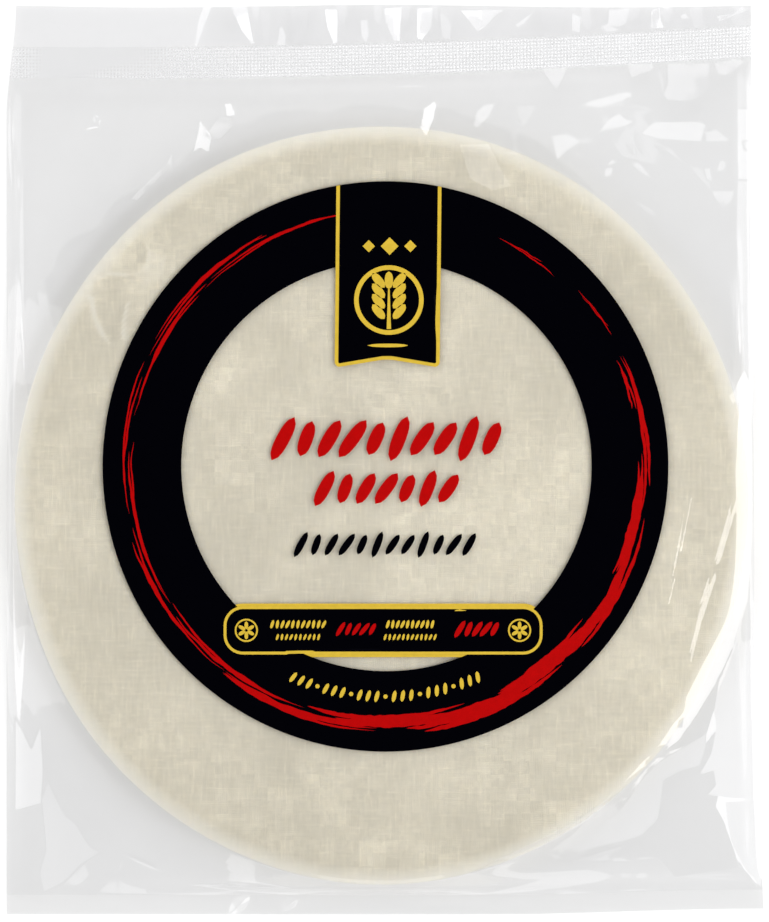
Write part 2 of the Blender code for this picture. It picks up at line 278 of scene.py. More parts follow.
def insideLoop(x, y, loop):
    inside = np.zeros(x.shape, dtype=bool)
    for (x1, y1), (x2, y2) in sidesOf(loop):
        spans = (y1 > y) != (y2 > y)
        inside ^= spans & (x < (x2 - x1) * (y - y1) / (y2 - y1 + 1e-15) + x1)
    return inside


def awayFrom(x, y, loop):
    near = np.full(x.shape, 1.0)
    for (x1, y1), (x2, y2) in sidesOf(loop):
        ex, ey = x2 - x1, y2 - y1
        t = np.clip(((x - x1) * ex + (y - y1) * ey) / (ex * ex + ey * ey + 1e-15), 0.0, 1.0)
        near = np.minimum(near, np.hypot(x - x1 - t * ex, y - y1 - t * ey))
    return near


def softInside(x, y, corners, blur):
    loop = [(a * mm, b * mm) for a, b in corners]
    away = awayFrom(x, y, loop)
    return ease(np.where(insideLoop(x, y, loop), away, -away) / (blur * mm) + 0.5)


def filmTop(x, y):
    beyond, angle = fromRim(x, y)
    angle = np.mod(angle, 2.0 * math.pi)
    reach = np.interp(angle, reachAngle, reachLength, period=2.0 * math.pi)
    margin = reach - rimReach(x - stack["x"], y - stack["y"])
    crown = film["face"] - (film["face"] - film["rim"]) * np.exp(np.minimum(beyond, 0.0) / film["shoulder"])
    footward = ease((-0.165 - stack["y"] - reach * np.sin(angle)) / (11 * mm))
    edge = film["edge"] + film["narrowEdge"] * np.exp(-np.maximum(margin, 0.0) / film["narrow"])
    low = between(edge, film["foot"], footward)
    share = np.clip(beyond / margin, 0.0, 1.0)
    flank = low + (film["rim"] - low) * (1.0 - share) ** film["sag"]
    side = np.minimum(rightX(y) - x, x - leftX(y))
    roll = ease(share * 1.6) * ease(margin / (24 * mm)) * ease((crimpY(x) - y) / (16 * mm))
    roll = roll * ease((y - weldY(x)) / (14 * mm)) * np.clip(side / film["rollWidth"], 0.0, 1.0)
    flank = flank + between(film["rollLeft"], film["rollRight"], ease(x / (120 * mm) + 0.5)) * roll
    z = np.where(beyond < 0.0, crown, flank)
    slack = ease(1.0 + beyond / (9 * mm)) * ease(margin / film["slackWidth"])
    slack = slack * (0.35 + 0.65 * np.sin(math.pi * np.clip(share * 0.92 + 0.08, 0.0, 1.0)))
    loose = film["tightHeight"] + film["coarseHeight"] * slack
    z = z + loose * facets(x, y, film["coarse"], 11, 0.4)
    z = z + film["fineHeight"] * slack * facets(x, y, film["fine"], 23, 1.1)
    for fold in film["folds"]:
        z = z + crease(x, y, fold)
    return np.maximum(z, film["lowest"])


def turnNormals(x, y, height, panes, keep):
    step = 0.3 * mm
    slopeX = keep * (height(x + step, y) - height(x - step, y)) / (2.0 * step)
    slopeY = keep * (height(x, y + step) - height(x, y - step)) / (2.0 * step)
    for way, slope, *corners in panes:
        cx, cy = np.mean(corners, axis=0) * mm
        reach = max(math.hypot(a * mm - cx, b * mm - cy) for a, b in corners) + 1 * mm
        close = np.hypot(x - cx, y - cy) < reach
        if not close.any():
            continue
        px, py = x[close], y[close]
        share = softInside(px, py, corners, 0.9)
        turn = math.radians(way) + 0.10 * softNoise(px, py, 9 * mm, 31)
        lean = slope * (1.0 + 0.12 * softNoise(px, py, 7 * mm, 32))
        slopeX[close] = between(slopeX[close], -lean * np.cos(turn), share)
        slopeY[close] = between(slopeY[close], -lean * np.sin(turn), share)
    normals = np.stack([-slopeX, -slopeY, np.ones(x.shape)], axis=-1)
    return normals / np.linalg.norm(normals, axis=-1, keepdims=True)


def filmNormals(x, y):
    beyond, angle = fromRim(x, y)
    angle = np.degrees(angle)
    # where the film lies smooth: over the upper right rim, at the upper right side, under the seal
    rim = ease((angle - 10.0) / 8.0) * ease((75.0 - angle) / 10.0)
    rim = rim * ease(1.6 - np.abs(beyond - 1 * mm) / (6 * mm))
    side = ease((x - 0.10) / 0.02) * ease((y - 0.03) / 0.012) * ease(beyond / (3 * mm))
    under = ease((crimpY(x) + 1 * mm - y) / (3 * mm)) * ease((y - 0.144) / 0.004)
    keep = (1.0 - 0.85 * rim) * (1.0 - 0.65 * side) * (1.0 - 0.5 * under)
    return turnNormals(x, y, filmTop, film["panes"], keep)


def filmShade(x, y):
    beyond, angle = fromRim(x, y)
    angle = np.degrees(angle)
    # painted shadow on the film beside the papers, as wide as the shade table gives
    places, widths = zip(*film["shade"])
    reach = np.interp(angle, places, widths) * mm * (1.0 + 0.25 * softNoise(x, y, 12 * mm, 41))
    shadowBeside = ease((reach - beyond) / (2.5 * mm) + 0.5) * ease(beyond / (1.5 * mm) + 0.5)
    shadowBeside = shadowBeside * ease(reach / (2 * mm))
    # the stronger of the painted shadow beside the papers and a painted shade that grows towards the bottom
    # of the bag
    return np.maximum(0.75 * shadowBeside, 0.5 * ease((-0.09 - y) / 0.08))


# meshes

def listPoints(x, y, z):
    return np.stack([x.ravel(), y.ravel(), z.ravel()], axis=1).tolist()


def addPiece(name, verts, faces, finish):
    mesh = bpy.data.meshes.new(name)
    mesh.from_pydata(verts, [], faces)
    mesh.validate()
    mesh.polygons.foreach_set("use_smooth", [True] * len(mesh.polygons))
    mesh.materials.append(finish)
    piece = bpy.data.objects.new(name, mesh)
    shop.objects.link(piece)
    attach(piece, "root")
    return piece


def gridFaces(rows, columns, flip=False):
    index = np.arange(rows * columns).reshape(rows, columns)
    quads = [index[:-1, :-1], index[:-1, 1:], index[1:, 1:], index[1:, :-1]]
    if flip:
        quads.reverse()
    return np.stack([q.ravel() for q in quads], axis=1)


def gridPiece(name, x, y, z, finish, flip=False):
    return addPiece(name, listPoints(x, y, z), gridFaces(*x.shape, flip).tolist(), finish)


def addLayer(piece, name, values):
    layer = piece.data.attributes.new(name, "FLOAT", "POINT")
    layer.data.foreach_set("value", np.asarray(values).ravel().astype(np.float32))


def setNormals(piece, normals):
    piece.data.normals_split_custom_set_from_vertices(normals.reshape(-1, 3).tolist())


def gathered(count, gather):
    t = np.linspace(0.0, 1.0, count)
    return t - gather * np.sin(2.0 * math.pi * t) / (2.0 * math.pi)


def bagGrid(columns, rows, lowY, highY, gather=0.0, gatherRows=0.0):
    u, v = np.meshgrid(gathered(columns, gather), gathered(rows, gatherRows))
    xFirst = between(bag["left"], bag["right"] - bag["rightDraw"], u)
    for _ in range(3):
        y = between(lowY(xFirst), highY(xFirst), v)
        xFirst = between(leftX(y), rightX(y), u)
    return xFirst, between(lowY(xFirst), highY(xFirst), v), v


# shader tools

def node(tree, kind, inputs=None, **settings):
    made = tree.nodes.new("ShaderNode" + kind)
    for key, value in settings.items():
        setattr(made, key, value)
    for key, value in (inputs or {}).items():
        made.inputs[key].default_value = value
    return made


def wire(tree, *joins):
    for source, leaving, target, entering in joins:
        tree.links.new(source.outputs[leaving], target.inputs[entering])


def newMaterial(name):
    made = bpy.data.materials.new(name)
    made.use_nodes = True
    return made, made.node_tree, made.node_tree.nodes["Principled BSDF"]


def setShader(shader, **values):
    for key, value in values.items():
        shader.inputs[key.replace("_", " ")].default_value = value


def newGroup(name, inputs, outputs):
    group = bpy.data.node_groups.new(name, "ShaderNodeTree")
    for label, kind, value in inputs:
        socket = group.interface.new_socket(name=label, in_out="INPUT", socket_type="NodeSocket" + kind)
        if value is not None:
            socket.default_value = value
    for label in outputs:
        group.interface.new_socket(name=label, in_out="OUTPUT", socket_type="NodeSocketFloat")
    return group, group.nodes.new("NodeGroupInput"), group.nodes.new("NodeGroupOutput")


def makeRippleGroup():
    group, given, out = newGroup(
        "filmRipple",
        [("Vector", "Vector", None), ("Size", "Float", 60.0)],
        ["Height", "Scuff"],
    )
    wide = node(group, "TexNoise", {"Detail": 2.0, "Roughness": 0.45})
    fine = node(group, "TexNoise", {"Scale": 420.0, "Detail": 3.0, "Roughness": 0.6})
    swell = node(group, "Math", {1: 0.03}, operation="MULTIPLY_ADD")
    scuff = node(group, "MapRange", {"From Min": 0.35, "From Max": 0.75})
    wire(group, (given, "Vector", wide, "Vector"), (given, "Size", wide, "Scale"),
         (given, "Vector", fine, "Vector"), (fine, "Fac", swell, 0), (wide, "Fac", swell, 2),
         (swell, 0, out, "Height"), (fine, "Fac", scuff, "Value"), (scuff, "Result", out, "Scuff"))
    return group


ripple = makeRippleGroup()


def rippleSurface(tree, shader, size, bump):
    place = node(tree, "TexCoord")
    waves = node(tree, "Group", {"Size": size}, node_tree=ripple)
    relief = node(tree, "Bump", {"Strength": 1.0, "Distance": bump})
    wire(tree, (place, "Object", waves, "Vector"), (waves, "Height", relief, "Height"),
         (relief, "Normal", shader, "Normal"))
    return waves, relief


def makeFilm(name, tint, rough, bump, ripples, gloss, frostedAndGlinting=False):
    made, tree, shader = newMaterial(name)
    waves, relief = rippleSurface(tree, shader, ripples, bump)
    # the film mirrors more where it is seen at a slant
    facing = node(tree, "LayerWeight", {"Blend": 0.5})
    slant = node(tree, "Math", {1: 4.5}, operation="POWER")
    mirror = node(tree, "Math", {1: 0.9, 2: gloss}, operation="MULTIPLY_ADD", use_clamp=True)
    # painted shade: the attribute below darkens the see-through tint where the pouch and flap carry painted
    # shadow and shade
    paintedShade = node(tree, "Attribute", attribute_name="paintedShade")
    darker = [value * 0.94 for value in tint]
    tone = node(tree, "Mix", {6: (*tint, 1.0), 7: (*darker, 1.0)}, data_type="RGBA")
    clear = node(tree, "BsdfTransparent")
    mix = node(tree, "MixShader")
    scuffed = node(tree, "MapRange", {"To Min": rough, "To Max": rough * 1.8})
    setShader(shader, Base_Color=(0.985, 0.98, 1.0, 1.0), Metallic=1.0)
    wire(tree, (paintedShade, "Fac", tone, 0), (tone, 2, clear, "Color"), (waves, "Scuff", scuffed, "Value"),
         (scuffed, "Result", shader, "Roughness"), (relief, "Normal", facing, "Normal"),
         (facing, "Facing", slant, 0), (slant, 0, mirror, 0), (mirror, 0, mix, 0), (clear, 0, mix, 1),
         (shader, 0, mix, 2))
    # the knurl peaks get a white diffuse share: partly the frost of the crimped film, partly a painted
    # highlight for the glints on the dots
    if frostedAndGlinting:
        knurl = node(tree, "Attribute", attribute_name="knurl")
        frostAndGlint = node(tree, "BsdfPrincipled")
        setShader(frostAndGlint, Base_Color=(0.99, 0.99, 1.0, 1.0), Roughness=0.5)
        whole = node(tree, "MixShader")
        wire(tree, (knurl, "Fac", whole, 0), (mix, 0, whole, 1), (frostAndGlint, 0, whole, 2))
        mix = whole
    wire(tree, (mix, 0, tree.nodes["Material Output"], "Surface"))
    return made


def makeInk(name, colour, rough, coat=0.0):
    made, tree, shader = newMaterial(name)
    waves = rippleSurface(tree, shader, 45.0, 0.00004)[0]
    tone = node(tree, "MapRange", {"To Min": 0.93, "To Max": 1.06})
    shade = node(tree, "VectorMath", {0: colour}, operation="SCALE")
    wire(tree, (waves, "Scuff", tone, "Value"), (tone, "Result", shade, "Scale"),
         (shade, 0, shader, "Base Color"))
    setShader(shader, Roughness=rough, Coat_Weight=coat, Coat_Roughness=0.05)
    return made


def makeWeaveGroup():
    group, given, out = newGroup(
        "basketWeave",
        [("Vector", "Vector", None), ("Squares", "Float", 335.0),
         ("Wander", "Float", 0.0006), ("Patch", "Float", 30.0)],
        ["Ribs", "Squares"],
    )
    # the grid wanders a little from straight
    drift = node(group, "TexNoise", {"Scale": 150.0, "Detail": 2.0})
    centred = node(group, "VectorMath", {1: (0.5, 0.5, 0.5)}, operation="SUBTRACT")
    scaled = node(group, "VectorMath", operation="SCALE")
    level = node(group, "VectorMath", {1: (1.0, 1.0, 0.0)}, operation="MULTIPLY")
    moved = node(group, "VectorMath", operation="ADD")
    wire(group, (given, "Vector", drift, "Vector"), (drift, "Color", centred, 0), (centred, 0, scaled, 0),
         (given, "Wander", scaled, "Scale"), (given, "Vector", level, 0), (level, 0, moved, 0),
         (scaled, 0, moved, 1))
    # ribs run across in one square and along in the next
    checks = node(group, "TexChecker", {"Color1": (1, 1, 1, 1), "Color2": (0, 0, 0, 1)})
    ribScale = node(group, "Math", {1: 1.9}, operation="MULTIPLY")
    pick = node(group, "Mix", data_type="FLOAT")
    wire(group, (moved, 0, checks, "Vector"), (given, "Squares", checks, "Scale"),
         (given, "Squares", ribScale, 0), (checks, "Fac", pick, 0))
    for entering, direction in ((2, "X"), (3, "Y")):
        ribs = node(group, "TexWave", {"Distortion": 1.5}, bands_direction=direction)
        wire(group, (moved, 0, ribs, "Vector"), (ribScale, 0, ribs, "Scale"), (ribs, "Fac", pick, entering))
    # each square has a tone of its own
    cells = node(group, "VectorMath", operation="SCALE")
    corner = node(group, "VectorMath", operation="FLOOR")
    chance = node(group, "TexWhiteNoise", noise_dimensions="2D")
    squares = node(group, "Math", {1: 0.45}, operation="MULTIPLY_ADD")
    wire(group, (moved, 0, cells, 0), (given, "Squares", cells, "Scale"), (cells, 0, corner, 0),
         (corner, 0, chance, "Vector"), (checks, "Fac", squares, 0), (chance, "Value", squares, 2))
    # the weave shows in patches only
    patch = node(group, "TexNoise", {"Detail": 3.0})
    worn = node(group, "MapRange", {"From Min": 0.40, "From Max": 0.66})
    wire(group, (given, "Vector", patch, "Vector"), (given, "Patch", patch, "Scale"),
         (patch, "Fac", worn, "Value"))
    for source, label in ((pick, "Ribs"), (squares, "Squares")):
        shown = node(group, "Math", operation="MULTIPLY")
        wire(group, (source, 0, shown, 0), (worn, "Result", shown, 1), (shown, 0, out, label))
    return group


weave = makeWeaveGroup()


def makePaper(name, base, tone, squares, wander, patches):
    made, tree, shader = newMaterial(name)
    place = node(tree, "TexCoord")
    sheets = []
    for drift, patch in zip(wander, patches):
        given = {"Squares": squares, "Wander": drift, "Patch": patch}
        sheets.append(node(tree, "Group", given, node_tree=weave))
    top, under = sheets
    aside = {"Rotation": (0.0, 0.0, 0.09), "Location": (0.0011, 0.0007, 0.0)}
    turned = node(tree, "Mapping", aside)
    cloud = node(tree, "TexNoise", {"Scale": 14.0, "Detail": 3.0, "Roughness": 0.55})
    rim = node(tree, "Attribute", attribute_name="rim")
    wire(tree, (place, "Object", top, "Vector"), (place, "Object", turned, "Vector"),
         (turned, "Vector", under, "Vector"), (place, "Object", cloud, "Vector"))
    parts = [(top, "Ribs", 0.05), (top, "Squares", 0.10), (under, "Squares", 0.06), (cloud, "Fac", 0.16),
             (rim, "Fac", 0.10)]
    # fibres along and across, the strongest of them pale
    for stretch, amount in (((9.0, 1.0, 1.0), 0.20), ((1.0, 9.0, 1.0), 0.14)):
        fibre = node(tree, "Mapping", {"Scale": stretch})
        streak = node(tree, "TexNoise", {"Scale": 90.0, "Detail": 3.0, "Roughness": 0.6})
        flecks = node(tree, "MapRange", {"From Min": 0.60, "From Max": 0.74})
        wire(tree, (place, "Object", fibre, "Vector"), (fibre, "Vector", streak, "Vector"),
             (streak, "Fac", flecks, "Value"))
        parts += [(streak, "Fac", amount), (flecks, "Result", 0.06)]
    total = None
    for source, leaving, amount in parts:
        add = node(tree, "Math", {1: amount, 2: tone}, operation="MULTIPLY_ADD")
        wire(tree, (source, leaving, add, 0))
        if total:
            wire(tree, (total, 0, add, 2))
        total = add
    shade = node(tree, "VectorMath", {0: base}, operation="SCALE")
    whiter = node(tree, "Mix", {7: (0.90, 0.87, 0.78, 1.0)}, data_type="RGBA")
    rimShare = node(tree, "Math", {1: 0.9}, operation="MULTIPLY")
    relief = node(tree, "Bump", {"Strength": 1.0, "Distance": 0.00005})
    wire(tree, (total, 0, shade, "Scale"), (rim, "Fac", rimShare, 0), (rimShare, 0, whiter, 0),
         (shade, 0, whiter, 6), (whiter, 2, shader, "Base Color"), (top, "Ribs", relief, "Height"),
         (relief, "Normal", shader, "Normal"))
    setShader(shader, Roughness=0.55, Subsurface_Weight=0.25, Subsurface_Radius=(1.0, 0.85, 0.6),
              Subsurface_Scale=0.003)
    return made


smooth = {"rough": 0.04, "bump": 0.00012, "ripples": 45.0}
welded = {"rough": 0.09, "ripples": 80.0}
clearFilm = makeFilm("clearFilm", (0.959, 0.959, 0.959), gloss=0.055, **smooth)
flapFilm = makeFilm("flapFilm", (0.977, 0.977, 0.979), gloss=0.05, **smooth)
weldFilm = makeFilm("weldFilm", (0.912, 0.912, 0.912), bump=0.0002, gloss=0.08, **welded)
sealFilm = makeFilm("sealFilm", (0.902, 0.903, 0.906), bump=0.0001, gloss=0.09, frostedAndGlinting=True, **welded)
paper = makePaper("ricePaper", (0.806, 0.752, 0.616), 0.63, 184.0, (0.0016, 0.0022), (42.0, 24.0))
blackInk = makeInk("blackInk", (0.0006, 0.0006, 0.0018), rough=0.08)
goldInk = makeInk("goldInk", (0.70, 0.48, 0.045), rough=0.25, coat=0.1)
redInk = makeInk("redInk", (0.47, 0.0008, 0.001), rough=0.2)
print("finishes made")


# the film pouch

def upperY(x):
    return film["upperCut"] + 0.0 * x


def lowerY(x):
    return film["lowerCut"] + 0.0 * x


def makePouch():
    parts = (("filmUpper", 600, 110, upperY, crimpY), ("filmFront", 370, 258, lowerY, upperY),
             ("filmLower", 500, 140, weldY, lowerY))
    for name, columns, rows, lowY, highY in parts:
        x, y = bagGrid(columns, rows, lowY, highY, gather=0.35)[:2]
        front = gridPiece(name, x, y, filmTop(x, y), clearFilm)
        setNormals(front, filmNormals(x, y))
        # the layer holds the painted shadow and shade from filmShade
        addLayer(front, "paintedShade", filmShade(x, y))
        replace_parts(front, "bag")
    x, y = bagGrid(130, 140, weldY, crimpY, gather=0.62, gatherRows=0.45)[:2]
    beyond = fromRim(x, y)[0]
    rise = np.minimum(np.minimum(x - leftX(y), rightX(y) - x), np.minimum(y - weldY(x), crimpY(x) - y))
    join = ease(1.0 - rise / (9 * mm)) ** 1.5
    slack = film["backSlack"] * ease(beyond / (10 * mm))
    lying = film["backRest"] + slack * (0.6 + 0.6 * facets(x, y, 19 * mm, 5, 0.8))
    z = between(np.maximum(lying, 0.2 * mm), filmTop(x, y), join)
    gridPiece("filmBack", x, y, z, clearFilm, flip=True)


makePouch()
print("pouch made")


# crimped seal and the loose flap above it

header = {
    "rest": 0.9 * mm, "sealRise": 0.6 * mm, "knurl": 1.4 * mm, "knurlHeight": 0.04 * mm,
    # place along the flap, height and length of each soft wave
    "waves": ((-72, 0.7, 7), (-57, 0.9, 6), (-41, 0.6, 5), (-22, 0.9, 7), (-6, 0.6, 5), (5, 0.9, 6),
              (18, 0.9, 6), (38, 1.0, 11), (60, 0.5, 8), (80, 0.7, 6), (98, 0.6, 8), (113, 0.8, 6),
              (126, 0.6, 6), (142, 0.8, 8)),
    "footFolds": ((-66, -190, -56, -181, 1.6, 2.2, 3.5), (-44, -188, -36, -182, 0.8, 2, 3)),
    # way each flute faces, slope, then its corners
    "flutes": (
        (10, 0.30, (-79.5, 171.2), (-78.3, 172), (-71.7, 189.5), (-75.4, 189.5), (-78, 182)),
        (-12, 0.30, (-64.3, 189), (-57.6, 188.6), (-54.3, 173), (-55.7, 172), (-60, 178), (-63.8, 186.5)),
        (10, 0.30, (-45.3, 172), (-44.1, 179.2), (-42.9, 180.4), (-41.3, 176), (-41.6, 172)),
        (261, 0.35, (-52.2, 186.5), (-47.7, 186.5), (-48.5, 173), (-50.5, 173)),
        (261, 0.35, (-39.4, 187.7), (-31.5, 187.7), (-33, 178), (-36, 173), (-38.5, 173.2)),
        (-12, 0.30, (-25.7, 187.7), (-19.7, 187.3), (-19.7, 173.2), (-22, 172.4), (-24.5, 179.2)),
        (10, 0.30, (-10.5, 182.9), (-7.5, 182.9), (-6.8, 177), (-8, 173.2), (-9.9, 175.7)),
        (-12, 0.30, (-1, 188.1), (7, 188.1), (6, 173.6), (3.3, 174), (0, 181.5)),
        (-12, 0.30, (12.8, 188.1), (19.9, 188.1), (18.9, 179.4), (15.1, 174), (12.8, 175.3)),
        (261, 0.35, (22, 188.1), (29, 187.5), (27, 174), (23.2, 175.3)),
        (-12, 0.30, (30.7, 186.9), (40, 186.9), (41, 179.4), (38.1, 177.8), (33.4, 183.7)),
        (10, 0.30, (40, 186.9), (49.5, 186.9), (45.2, 184.4), (41, 179.4)),
        (10, 0.30, (53.9, 180.7), (61.3, 186), (58, 181.5), (54.9, 179.4)),
        (261, 0.35, (64, 187.5), (75, 187.5), (73, 176), (66, 175.5)),
        (10, 0.30, (77.5, 186), (81.2, 183.7), (80.7, 177.4), (77.5, 178.4)),
        (-12, 0.30, (89.6, 180), (92, 181), (97.5, 178.6), (92, 177.8)),
        (10, 0.30, (93, 186.9), (101.5, 187.5), (99.9, 181.5), (97.4, 180), (92.4, 180.7)),
        (-12, 0.30, (110.6, 186.9), (114, 187.5), (114.4, 182.7), (116, 179.4), (110.2, 179.4)),
        (10, 0.30, (122.5, 184.5), (124.5, 185.5), (126, 183.7), (123.5, 183)),
        (-12, 0.30, (137.6, 184.4), (145, 185.2), (148, 188.1), (150.4, 186.9), (138.8, 182.1)),
    ),
}


def crimpTop(x):
    return crimpY(x) + bag["crimpWidth"]


def crimpBase(x, y):
    sway = 0.35 * mm * softNoise(x, y, 17 * mm, 61) + 0.2 * mm * facets(x, y, 9 * mm, 62, 0.2)
    return header["rest"] + header["sealRise"] + sway


def makeCrimp():
    x, y, share = bagGrid(1260, 53, crimpY, crimpTop)
    pitch = header["knurl"]
    rise = y - crimpY(x)
    peaks = np.sin(math.pi * x / pitch) ** 2 * np.sin(math.pi * rise / pitch) ** 2
    worn = 0.15 + 0.85 * ease((x + 0.12) / 0.08) + 0.25 * softNoise(x, y, 14 * mm, 71)
    z = crimpBase(x, y) + header["knurlHeight"] * np.clip(worn, 0.05, 1.1) * peaks
    z = between(filmTop(x, y), z, ease(share * 6.0))
    piece = gridPiece("crimpSeal", x, y, z, sealFilm)
    # the knurl layer whitens the peaks in the finish: frost and painted glints
    addLayer(piece, "knurl", np.clip(worn, 0.0, 1.0) * peaks)


def flapHeight(x, y):
    share = np.clip((y - crimpTop(x)) / (topY(x) - crimpTop(x)), 0.0, 1.0)
    z = crimpBase(x, crimpTop(x)) * (1.0 - share) + header["rest"] * share
    for place, height, length in header["waves"]:
        across = np.abs(x - place * mm) / (length * mm)
        z = z + height * mm * share * (1.0 - ease(across))
    return z + 0.25 * mm * share * facets(x, y, 8 * mm, 81, 0.5)


def makeFlap():
    x, y = bagGrid(640, 34, crimpTop, topY)[:2]
    front = gridPiece("flapFront", x, y, flapHeight(x, y), flapFilm)
    setNormals(front, turnNormals(x, y, flapHeight, header["flutes"], 1.0))
    # painted shade over the fluted part of the flap
    addLayer(front, "paintedShade", 0.75 * ease((x + 0.082) / 0.02) * (0.8 + 0.3 * softNoise(x, y, 13 * mm, 82)))
    x, y, share = bagGrid(240, 12, crimpTop, topY)
    back = np.maximum(flapHeight(x, y) * 0.45 - 0.1 * mm * share, 0.2 * mm)
    gridPiece("flapBack", x, y, back, flapFilm, flip=True)


def makeFootWeld():
    x, y, share = bagGrid(400, 14, footY, weldY)
    lying = header["rest"] + 0.22 * mm * facets(x, y, 7 * mm, 91, 0.3)
    lying = lying + 0.2 * mm * softNoise(x, y, 24 * mm, 92)
    z = between(lying, filmTop(x, y), ease(share * 1.2 - 0.2))
    for fold in header["footFolds"]:
        z = z + crease(x, y, fold)
    gridPiece("footWeld", x, y, np.maximum(z, 0.25 * mm), weldFilm)


makeCrimp()
makeFlap()
makeFootWeld()
print("header and foot made")


# the stack of papers

def sheetShape(angle, share, number, tall):
    centreX = stack["x"] + stack["shift"] * math.sin(number * 2.3)
    centreY = stack["y"] + stack["shift"] * math.cos(number * 1.9)
    inset = stack["topInset"] if number == stack["sheets"] - 1 else stack["inset"]
    wave = 0.35 * mm * np.sin(3.0 * angle + number * 1.7) + 0.2 * mm * np.sin(7.0 * angle + number * 2.9)
    x = centreX + share * (stack["radiusX"] - inset + wave) * np.cos(angle)
    y = centreY + share * (stack["radiusY"] - inset + wave) * np.sin(angle)
    outer = np.clip((share - 0.945) / 0.055, 0.0, 1.0)
    droop = stack["droop"] * outer ** 2 * tall ** 3
    ruffle = stack["ruffle"] * share ** 2 * np.sin(5.0 * angle + number * 1.1)
    return x, y, -droop + ruffle


def ringFaces(inner, outer, count):
    return [[inner + i, outer + i, outer + (i + 1) % count, inner + (i + 1) % count] for i in range(count)]


def makeLowerSheets():
    shares = (0.5, 0.85, 0.95, 0.975, 0.99, 1.0)
    count = 120
    angles = np.arange(count) * 2.0 * math.pi / count
    verts, faces, rims = [], [], []
    for number in range(stack["sheets"] - 1):
        z0 = stack["base"] + stack["pitch"] * number
        for side in (1, 0):
            start = len(verts)
            for share in shares:
                x, y, lift = sheetShape(angles, share, number, number / stack["sheets"])
                z = np.maximum(z0 + lift + side * stack["thick"], 0.35 * mm)
                verts += np.stack([x, y, z], axis=1).tolist()
                rims += [max(0.0, (share - 0.95) / 0.05)] * count
            hub = len(verts)
            verts.append([stack["x"], stack["y"], z0 + side * stack["thick"]])
            rims.append(0.0)
            made = []
            for inner in range(start, hub - count, count):
                made += ringFaces(inner, inner + count, count)
            made += [[hub, start + i, start + (i + 1) % count] for i in range(count)]
            faces += made if side else [face[::-1] for face in made]
            if side:
                upper = hub - count
        faces += ringFaces(upper, hub - count, count)
    addLayer(addPiece("paperStack", verts, faces, paper), "rim", rims)


def weaveRelief(x, y):
    wx = x + stack["squareWander"] * softNoise(x, y, 16 * mm, 101)
    wy = y + stack["squareWander"] * softNoise(x, y, 16 * mm, 102)
    odd = np.mod(np.floor(wx / stack["square"]) + np.floor(wy / stack["square"]), 2.0)
    worn = ease(0.5 + 1.6 * softNoise(x, y, 22 * mm, 103))
    return stack["squareHeight"] * odd * worn


# painted light and shade of the dent, as a signed amount of white
def dentLightAndShade(x, y):
    total = np.zeros(x.shape)
    for amount, *corners in stack["dentPatches"]:
        total += amount * softInside(x, y, corners, 1.6)
    return total


def makeTopSheet():
    side = np.linspace(-1.0, 1.0, 260)
    a, b = np.meshgrid(side, side)
    share = np.maximum(np.abs(a), np.abs(b))
    angle = np.arctan2(b, a)
    x, y, lift = sheetShape(angle, share, stack["sheets"] - 1, 1.0)
    # squares near the middle, a true circle at the rim
    square = ease((share - 0.15) / 0.6)
    x = between(stack["x"] + a * stack["radiusX"] * 0.80, x, square)
    y = between(stack["y"] + b * stack["radiusY"] * 0.80, y, square)
    z = stack["base"] + stack["pitch"] * stack["sheets"] + lift + weaveRelief(x, y)
    z = z + 0.22 * mm * softNoise(x, y, 34 * mm, 111) + 0.10 * mm * softNoise(x, y, 13 * mm, 112)
    dentPatches = dentLightAndShade(x, y)
    z = z + stack["dentPatchHeight"] * dentPatches
    piece = gridPiece("paperTop", x, y, z, paper)
    # the rim layer whitens the paper's outer rim and carries the dent's painted light and shade
    addLayer(piece, "rim", np.clip((share - 0.955) / 0.045, 0.0, 1.0) + dentPatches)


makeLowerSheets()
makeTopSheet()
print("papers made")


# the print, laid on the film

def insideLoops(x, y, loops, holes):
    covers = [insideLoop(x, y, loop) for loop in loops]
    return np.logical_xor.reduce(covers) if holes else np.logical_or.reduce(covers)


def makeInkPiece(name, loops, finish, slotName, lift, spacing=1.6 * mm, holes=False):
    points, faces = [], []
    for loop in loops:
        area = sum(a[0] * b[1] - b[0] * a[1] for a, b in sidesOf(loop))
        loop = loop if area > 0.0 else loop[::-1]
        start = len(points)
        points += [Vector(p) for p in loop]
        faces.append(list(range(start, start + len(loop))))
    every = np.array([p for loop in loops for p in loop])
    low, high = every.min(axis=0), every.max(axis=0)
    gx = np.arange(low[0] + spacing / 2.0, high[0], spacing)
    gy = np.arange(low[1] + spacing / 2.0, high[1], spacing * 0.87)
    px, py = np.meshgrid(gx, gy)
    px = px + (np.arange(len(gy)) % 2)[:, None] * spacing / 2.0
    px, py = px.ravel(), py.ravel()
    keep = insideLoops(px, py, loops, holes)
    px, py = px[keep], py[keep]
    keep = np.min([awayFrom(px, py, loop) for loop in loops], axis=0) > spacing * 0.4
    points += [Vector(p) for p in zip(px[keep], py[keep])]
    flat = delaunay_2d_cdt(points, [], faces, 1, 1e-7)
    x = np.array([p.x for p in flat[0]])
    y = np.array([p.y for p in flat[0]])
    made = np.array([list(f) for f in flat[2]])
    if holes:
        made = made[insideLoops(x[made].mean(axis=1), y[made].mean(axis=1), loops, holes)]
    verts = listPoints(x, y, filmTop(x, y) + lift * mm)
    return addPiece(name, verts, made.tolist(), finish)


